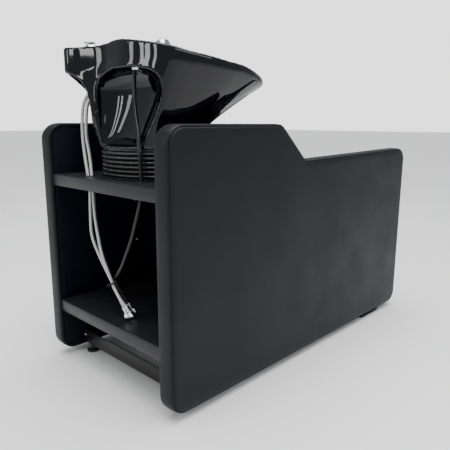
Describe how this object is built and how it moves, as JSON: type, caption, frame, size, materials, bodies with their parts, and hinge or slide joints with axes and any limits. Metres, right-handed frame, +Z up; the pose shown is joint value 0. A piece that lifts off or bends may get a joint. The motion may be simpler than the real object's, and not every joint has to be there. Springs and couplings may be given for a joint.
{
  "type": "shampoo backwash unit",
  "caption": "Salon hair-wash unit with padded side panels, seat and back, open rear shelves and a tilting glazed basin with mixer tap, hand shower and flexible hoses",
  "frame": {"origin": "centre of the footprint on the floor", "axes": "+X to the client's left, +Y to the rear under the basin, +Z up; the client faces -Y"},
  "size_m": [0.6, 1.208, 0.975],
  "materials": {
    "vinyl": "black upholstery vinyl",
    "panel_board": "black painted board",
    "plywood": "plain plywood",
    "shelf_paint": "charcoal powder coat",
    "black_steel": "black powder coat",
    "glaze": "black gloss glaze",
    "rubber": "black moulded rubber",
    "chrome": "polished chrome",
    "steel": "zinc plated",
    "braid": "braided steel over rubber",
    "black_plastic": "matt black moulding",
    "gloss_black": "gloss black"
  },
  "bodies": {
    "unit": {"side_board_left": "panel_board", "side_board_right": "panel_board", "side_cover_left": "vinyl", "side_cover_right": "vinyl", "upper_shelf": "shelf_paint", "lower_shelf": "shelf_paint", "rear_rail": "black_steel", "front_base_board": "panel_board", "rear_lining": "panel_board", "foot_lock_nut_left": "steel", "foot_lock_nut_right": "steel", "seat_rail_left": "panel_board", "seat_rail_right": "panel_board", "seat_front_rail": "panel_board", "seat_board": "plywood", "seat_cushion": "vinyl", "back_board": "plywood", "back_cushion": "vinyl", "back_cleat_left": "panel_board", "back_cleat_right": "panel_board", "tilt_base": "black_steel", "tilt_pin_left": "steel", "tilt_pin_right": "steel", "bellows": "rubber", "waste_tail": "black_plastic", "hose_grommet_left": "rubber", "hose_grommet_right": "rubber", "supply_hose_left": "braid", "supply_hose_right": "braid", "shower_hose": "gloss_black", "supply_nut_left": "chrome", "supply_nut_right": "chrome", "shower_hose_nut": "chrome", "cable_tie": "black_plastic"},
    "basin": {"basin": "glaze", "tilt_head": "black_steel", "waste_flange": "chrome", "waste_nut": "black_plastic", "tap_body": "chrome", "tap_shank": "steel", "tap_nut": "steel", "shower_guide": "chrome"},
    "strainer": {"strainer": "steel"},
    "tap_swivel": {"tap_swivel": "chrome"},
    "tap_lever": {"tap_lever": "chrome"},
    "hand_shower": {"shower_handle": "gloss_black", "shower_head": "chrome"},
    "foot_left": {"levelling_foot_left": "black_plastic"},
    "foot_right": {"levelling_foot_right": "black_plastic"}
  },
  "joints": [
    {"name": "basin_tilt", "type": "hinge", "parent": "unit", "child": "basin", "pos_m": [0, 0.405, 0.642], "axis": [1, 0, 0], "range_deg": [-5, 10], "deforming": ["bellows", "waste_tail", "supply_hose_left", "supply_hose_right", "shower_hose"]},
    {"name": "tap_turn", "type": "hinge", "parent": "basin", "child": "tap_swivel", "pos_m": [0.168, 0.494, 0.897], "axis": [0, 0, 1], "range_deg": [-60, 60]},
    {"name": "tap_lift", "type": "hinge", "parent": "tap_swivel", "child": "tap_lever", "pos_m": [0.168, 0.494, 0.9435], "axis": [-0.2079, -0.9781, 0], "range_deg": [0, 20]},
    {"name": "strainer_lift", "type": "slide", "parent": "basin", "child": "strainer", "axis": [0, 0, 1], "range_m": [0, 0.05]},
    {"name": "hand_shower_pull", "type": "slide", "parent": "basin", "child": "hand_shower", "axis": [-0.8982, -0.3127, 0.3091], "range_m": [0, 0.1]},
    {"name": "foot_level_left", "type": "slide", "parent": "unit", "child": "foot_left", "axis": [0, 0, -1], "range_m": [0, 0.012]},
    {"name": "foot_level_right", "type": "slide", "parent": "unit", "child": "foot_right", "axis": [0, 0, -1], "range_m": [0, 0.012]}
  ]
}
